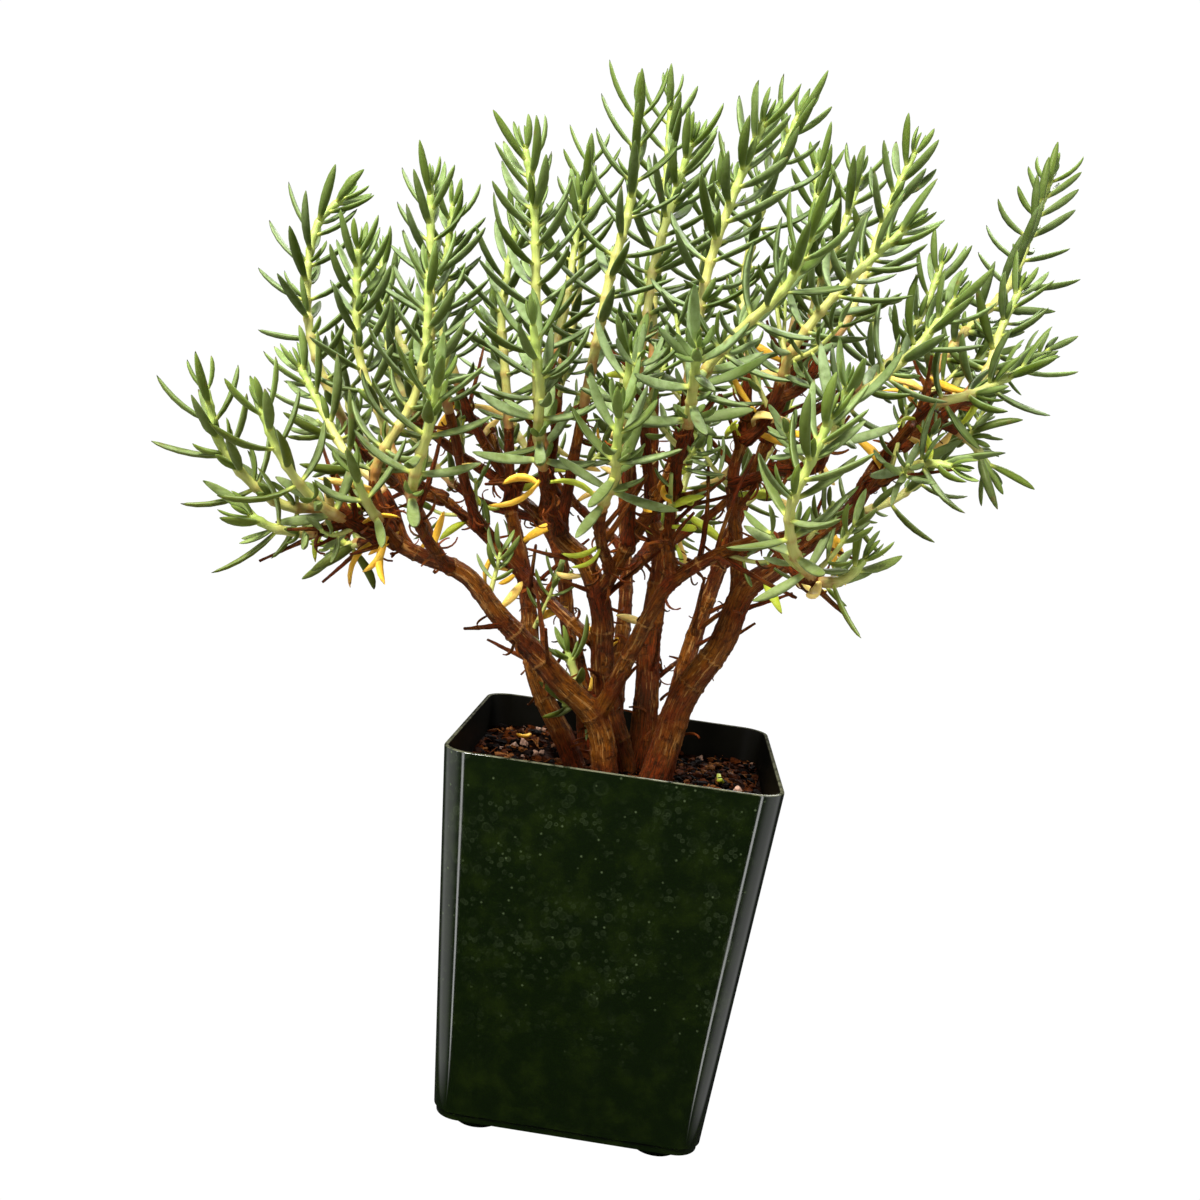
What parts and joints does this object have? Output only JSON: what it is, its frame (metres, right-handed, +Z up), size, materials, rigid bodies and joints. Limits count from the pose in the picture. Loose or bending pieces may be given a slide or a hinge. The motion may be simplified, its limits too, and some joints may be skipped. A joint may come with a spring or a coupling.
{
  "type": "jade bonsai",
  "caption": "Small jade bonsai with many brown stems and narrow grey-green leaves, planted in a tapered square nursery pot with soil.",
  "frame": {"origin": "middle of the pot's base, on the surface that its four feet stand on, below the middle of the crown", "axes": "+Z up, -Y towards the front of the pot and plant, +X to the right"},
  "size_m": [0.1713, 0.129, 0.2149],
  "materials": {
    "pot_plastic": "gloss",
    "soil": "matte",
    "bark": "matte",
    "foliage": "satin"
  },
  "bodies": {
    "root": {"pot": "pot_plastic", "soil": "soil", "wood": "bark", "leafy_stem_01": "foliage", "leafy_stem_02": "foliage", "leafy_stem_03": "foliage", "leafy_stem_04": "foliage", "leafy_stem_05": "foliage", "leafy_stem_06": "foliage", "leafy_stem_07": "foliage", "leafy_stem_08": "foliage", "leafy_stem_09": "foliage", "leafy_stem_10": "foliage", "leafy_stem_11": "foliage", "leafy_stem_12": "foliage", "leafy_stem_13": "foliage", "leafy_stem_14": "foliage", "leafy_stem_15": "foliage", "leafy_stem_16": "foliage", "leafy_stem_17": "foliage", "leafy_stem_18": "foliage", "leafy_stem_19": "foliage", "leafy_stem_20": "foliage", "leafy_stem_21": "foliage", "leafy_stem_22": "foliage", "leafy_stem_23": "foliage", "leafy_stem_24": "foliage", "leafy_stem_25": "foliage", "leafy_stem_26": "foliage", "leafy_stem_27": "foliage", "leafy_stem_28": "foliage", "leafy_stem_29": "foliage", "leafy_stem_30": "foliage", "leafy_stem_31": "foliage", "leafy_stem_32": "foliage", "leafy_stem_33": "foliage", "leafy_stem_34": "foliage", "leafy_stem_35": "foliage", "leafy_stem_36": "foliage", "leafy_stem_37": "foliage", "leafy_stem_38": "foliage", "leafy_stem_39": "foliage", "leafy_stem_40": "foliage", "leafy_stem_41": "foliage", "leafy_stem_42": "foliage", "leafy_stem_43": "foliage", "leafy_stem_44": "foliage", "leafy_stem_45": "foliage", "leafy_stem_46": "foliage", "leafy_stem_47": "foliage", "leafy_stem_48": "foliage", "leafy_stem_49": "foliage", "leafy_stem_50": "foliage", "leafy_stem_51": "foliage", "leafy_stem_52": "foliage"}
  },
  "joints": []
}
